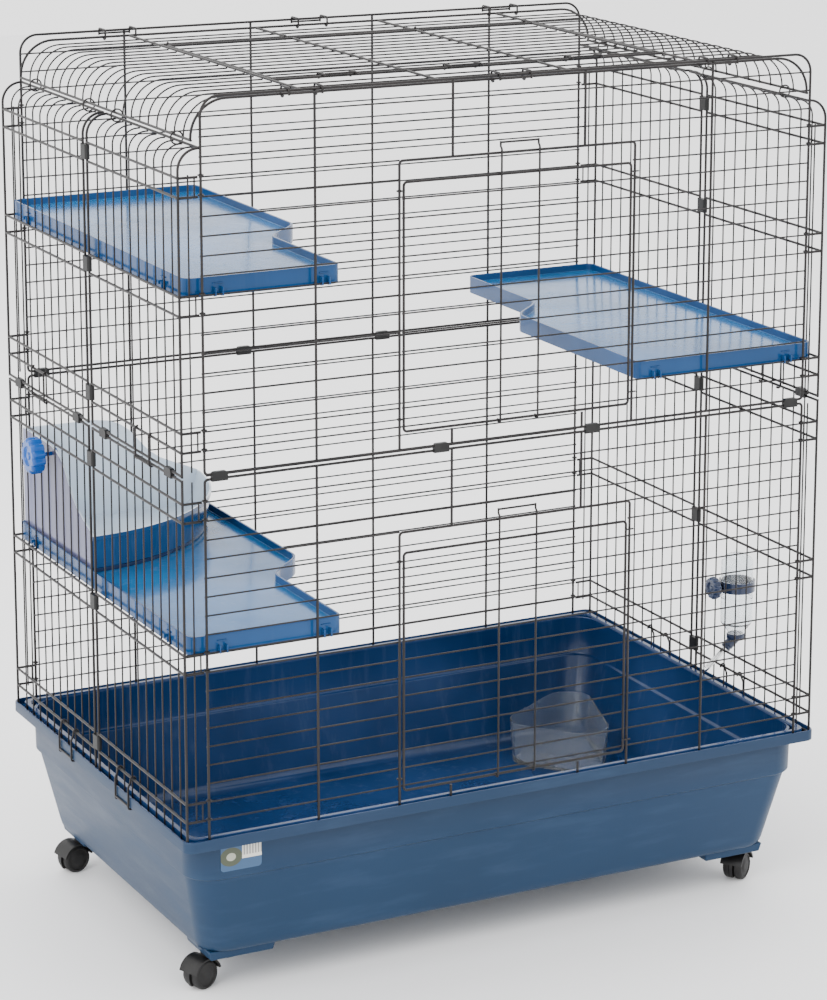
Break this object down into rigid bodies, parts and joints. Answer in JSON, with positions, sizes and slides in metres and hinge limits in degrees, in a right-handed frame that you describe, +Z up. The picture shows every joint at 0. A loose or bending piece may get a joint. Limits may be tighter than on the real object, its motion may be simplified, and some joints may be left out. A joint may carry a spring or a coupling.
{
  "type": "two-tier wire small pet cage",
  "caption": "Tall wire cage in two tiers on a wheeled plastic tray, with front doors, a lift-up roof hatch, shelves, litter pan, bottle and bowl.",
  "frame": {"origin": "on the floor under the middle of the whole object's bounding box", "axes": "+X to the right seen from the doors, -Y out of the doors, +Z up"},
  "size_m": [1.0334, 0.646, 1.211],
  "materials": {
    "tray_plastic": "glossy deep blue",
    "label": "printed film",
    "castor_plastic": "satin black",
    "wheel_plastic": "satin black",
    "wire": "hammered dark grey powder coat",
    "clip_plastic": "black",
    "shelf_plastic": "glossy blue",
    "pan_plastic": "glossy blue",
    "knob_plastic": "blue",
    "bottle_plastic": "clear",
    "bottle_fittings": "navy",
    "spout_steel": "polished steel",
    "bowl_plastic": "smoky blue, translucent"
  },
  "bodies": {
    "cage": {"tray": "tray_plastic", "tray_label": "label", "front_panel_lower": "wire", "front_panel_upper": "wire", "back_panel_lower": "wire", "back_panel_upper": "wire", "left_front_panel_lower": "wire", "left_front_panel_upper": "wire", "left_back_panel_lower": "wire", "left_back_panel_upper": "wire", "right_front_panel_lower": "wire", "right_front_panel_upper": "wire", "right_back_panel_lower": "wire", "right_back_panel_upper": "wire", "corner_rings_lower": "wire", "corner_rings_upper": "wire", "roof_panel": "wire", "roof_end_rings": "wire", "roof_clips": "wire", "fold_sleeves": "clip_plastic", "tier_clips": "clip_plastic", "shelf_top_left": "shelf_plastic", "shelf_middle_right": "shelf_plastic", "shelf_low_left": "shelf_plastic", "litter_pan": "pan_plastic", "bottle": "bottle_plastic", "bottle_cap": "bottle_fittings", "bottle_bracket": "bottle_fittings", "bottle_spout": "spout_steel", "bowl": "bowl_plastic"},
    "castor_fl": {"castor_hood_fl": "castor_plastic"},
    "wheels_fl": {"castor_wheels_fl": "wheel_plastic"},
    "castor_fr": {"castor_hood_fr": "castor_plastic"},
    "wheels_fr": {"castor_wheels_fr": "wheel_plastic"},
    "castor_bl": {"castor_hood_bl": "castor_plastic"},
    "wheels_bl": {"castor_wheels_bl": "wheel_plastic"},
    "castor_br": {"castor_hood_br": "castor_plastic"},
    "wheels_br": {"castor_wheels_br": "wheel_plastic"},
    "front_door_lower": {"door_lower": "wire"},
    "front_latch_lower": {"door_latch_lower": "wire"},
    "front_door_upper": {"door_upper": "wire"},
    "front_latch_upper": {"door_latch_upper": "wire"},
    "roof_hatch": {"roof_door": "wire"},
    "hatch_latch_left": {"roof_latch_left": "wire"},
    "hatch_latch_mid": {"roof_latch_mid": "wire"},
    "hatch_latch_right": {"roof_latch_right": "wire"},
    "bail_base_lf": {"base_bail_lf": "wire"},
    "bail_tier_lf": {"tier_bail_lf": "wire"},
    "bail_base_lb": {"base_bail_lb": "wire"},
    "bail_tier_lb": {"tier_bail_lb": "wire"},
    "bail_base_rf": {"base_bail_rf": "wire"},
    "bail_tier_rf": {"tier_bail_rf": "wire"},
    "bail_base_rb": {"base_bail_rb": "wire"},
    "bail_tier_rb": {"tier_bail_rb": "wire"},
    "pan_screw": {"pan_knob": "knob_plastic"},
    "bottle_screw": {"bottle_knob": "bottle_fittings"}
  },
  "joints": [
    {"name": "swivel_fl", "type": "hinge", "parent": "cage", "child": "castor_fl", "pos_m": [-0.4355, -0.231, 0.06], "axis": [0, 0, 1], "continuous": true},
    {"name": "roll_fl", "type": "hinge", "parent": "castor_fl", "child": "wheels_fl", "pos_m": [-0.44584, -0.23476, 0.02], "axis": [0.342, -0.9397, 0], "continuous": true},
    {"name": "swivel_fr", "type": "hinge", "parent": "cage", "child": "castor_fr", "pos_m": [0.4015, -0.231, 0.06], "axis": [0, 0, 1], "continuous": true},
    {"name": "roll_fr", "type": "hinge", "parent": "castor_fr", "child": "wheels_fr", "pos_m": [0.39249, -0.23731, 0.02], "axis": [0.5736, -0.8192, 0], "continuous": true},
    {"name": "swivel_bl", "type": "hinge", "parent": "cage", "child": "castor_bl", "pos_m": [-0.4355, 0.231, 0.06], "axis": [0, 0, 1], "continuous": true},
    {"name": "roll_bl", "type": "hinge", "parent": "castor_bl", "child": "wheels_bl", "pos_m": [-0.44633, 0.22909, 0.02], "axis": [0.1736, -0.9848, 0], "continuous": true},
    {"name": "swivel_br", "type": "hinge", "parent": "cage", "child": "castor_br", "pos_m": [0.4015, 0.231, 0.06], "axis": [0, 0, 1], "continuous": true},
    {"name": "roll_br", "type": "hinge", "parent": "castor_br", "child": "wheels_br", "pos_m": [0.39153, 0.22635, 0.02], "axis": [0.4226, -0.9063, 0], "continuous": true},
    {"name": "door_lower_swing", "type": "hinge", "parent": "cage", "child": "front_door_lower", "pos_m": [-0.191, -0.317, 0.42205], "axis": [0, 0, 1], "range_deg": [-120, 0]},
    {"name": "door_latch_lower_drop", "type": "hinge", "parent": "front_door_lower", "child": "front_latch_lower", "pos_m": [-0.017, -0.3175, 0.25805], "axis": [1, 0, 0], "range_deg": [0, 100]},
    {"name": "door_upper_swing", "type": "hinge", "parent": "cage", "child": "front_door_upper", "pos_m": [-0.191, -0.317, 0.91355], "axis": [0, 0, 1], "range_deg": [-120, 0]},
    {"name": "door_latch_upper_drop", "type": "hinge", "parent": "front_door_upper", "child": "front_latch_upper", "pos_m": [-0.017, -0.3175, 0.74955], "axis": [1, 0, 0], "range_deg": [0, 100]},
    {"name": "roof_door_lift", "type": "hinge", "parent": "cage", "child": "roof_hatch", "pos_m": [-0.017, 0.18571, 1.19955], "axis": [1, 0, 0], "range_deg": [-110, 0]},
    {"name": "roof_latch_left_lift", "type": "hinge", "parent": "roof_hatch", "child": "hatch_latch_left", "pos_m": [-0.213, -0.17221, 1.19955], "axis": [1, 0, 0], "range_deg": [-120, 0]},
    {"name": "roof_latch_mid_lift", "type": "hinge", "parent": "roof_hatch", "child": "hatch_latch_mid", "pos_m": [-0.029, -0.17221, 1.19955], "axis": [1, 0, 0], "range_deg": [-120, 0]},
    {"name": "roof_latch_right_lift", "type": "hinge", "parent": "roof_hatch", "child": "hatch_latch_right", "pos_m": [0.155, -0.17221, 1.19955], "axis": [1, 0, 0], "range_deg": [-120, 0]},
    {"name": "base_bail_lf_swing", "type": "hinge", "parent": "cage", "child": "bail_base_lf", "pos_m": [-0.494, -0.105, 0.26405], "axis": [0, 1, 0], "range_deg": [0, 100]},
    {"name": "tier_bail_lf_swing", "type": "hinge", "parent": "cage", "child": "bail_tier_lf", "pos_m": [-0.494, -0.19, 0.71905], "axis": [0, 1, 0], "range_deg": [-80, 0]},
    {"name": "base_bail_lb_swing", "type": "hinge", "parent": "cage", "child": "bail_base_lb", "pos_m": [-0.494, 0.105, 0.26405], "axis": [0, 1, 0], "range_deg": [0, 100]},
    {"name": "tier_bail_lb_swing", "type": "hinge", "parent": "cage", "child": "bail_tier_lb", "pos_m": [-0.494, 0.19, 0.71905], "axis": [0, 1, 0], "range_deg": [-80, 0]},
    {"name": "base_bail_rf_swing", "type": "hinge", "parent": "cage", "child": "bail_base_rf", "pos_m": [0.46, -0.105, 0.26405], "axis": [0, 1, 0], "range_deg": [-100, 0]},
    {"name": "tier_bail_rf_swing", "type": "hinge", "parent": "cage", "child": "bail_tier_rf", "pos_m": [0.46, -0.19, 0.71905], "axis": [0, 1, 0], "range_deg": [0, 80]},
    {"name": "base_bail_rb_swing", "type": "hinge", "parent": "cage", "child": "bail_base_rb", "pos_m": [0.46, 0.105, 0.26405], "axis": [0, 1, 0], "range_deg": [-100, 0]},
    {"name": "tier_bail_rb_swing", "type": "hinge", "parent": "cage", "child": "bail_tier_rb", "pos_m": [0.46, 0.19, 0.71905], "axis": [0, 1, 0], "range_deg": [0, 80]},
    {"name": "pan_knob_turn", "type": "hinge", "parent": "cage", "child": "pan_screw", "pos_m": [-0.507, 0.18782, 0.63735], "axis": [1, 0, 0], "continuous": true},
    {"name": "bottle_knob_turn", "type": "hinge", "parent": "cage", "child": "bottle_screw", "pos_m": [0.449, -0.0695, 0.3822], "axis": [1, 0, 0], "continuous": true}
  ]
}
